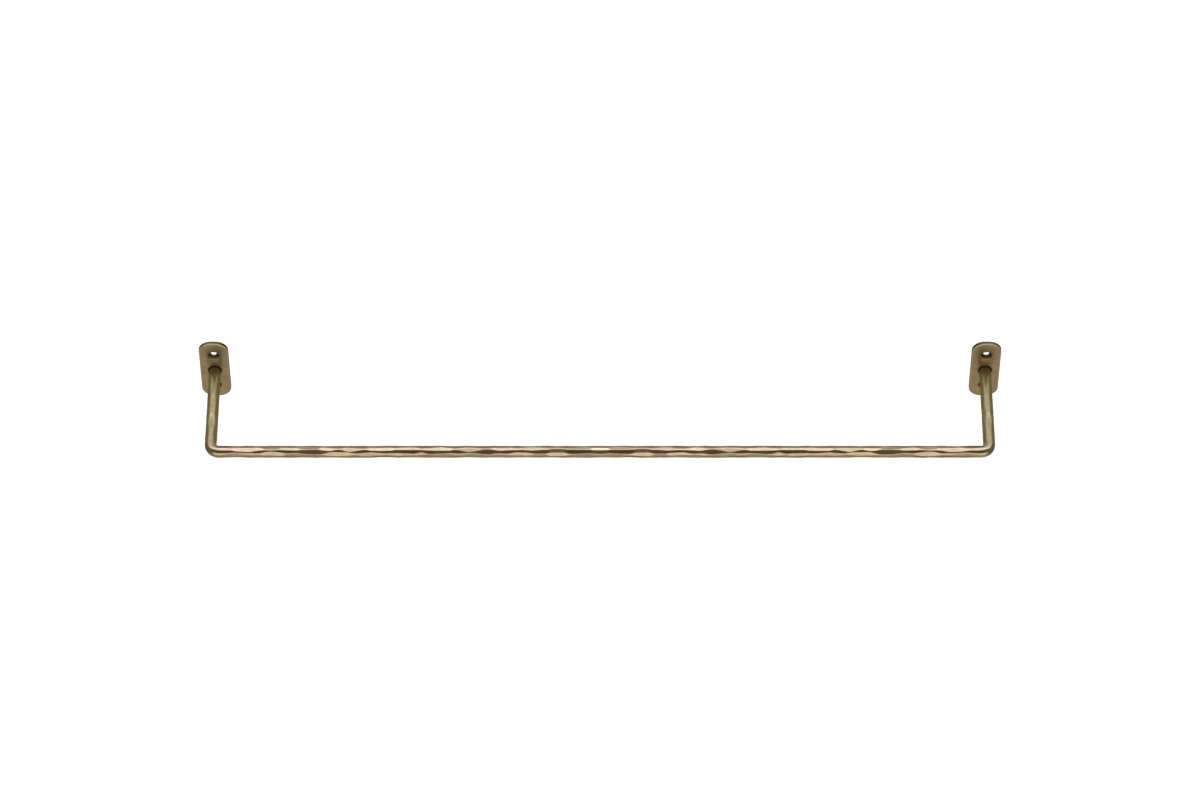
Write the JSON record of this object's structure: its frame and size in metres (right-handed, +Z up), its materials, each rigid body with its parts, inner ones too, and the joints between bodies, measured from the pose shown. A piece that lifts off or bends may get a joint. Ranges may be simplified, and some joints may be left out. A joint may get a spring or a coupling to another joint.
{
  "type": "towel rack",
  "caption": "Wall towel bar of hammered round brass rod with square-bent arms, screwed from behind to small round-cornered wall plates with countersunk screw holes.",
  "frame": {"origin": "on the wall plane, midway between the two wall plates, at the height of the arms' axes", "axes": "+X runs along the bar, to the right for someone facing the wall; +Y points into the wall, so the rack reaches into the room along -Y; +Z is up"},
  "size_m": [0.6332, 0.089, 0.066],
  "materials": {
    "rod_brass": "satin",
    "plate_brass": "satin",
    "screw_brass": "satin"
  },
  "bodies": {
    "root": {"hammered_rod": "rod_brass", "wall_plate_left": "plate_brass", "wall_plate_right": "plate_brass", "arm_screw_left": "screw_brass", "arm_screw_right": "screw_brass"}
  },
  "joints": []
}
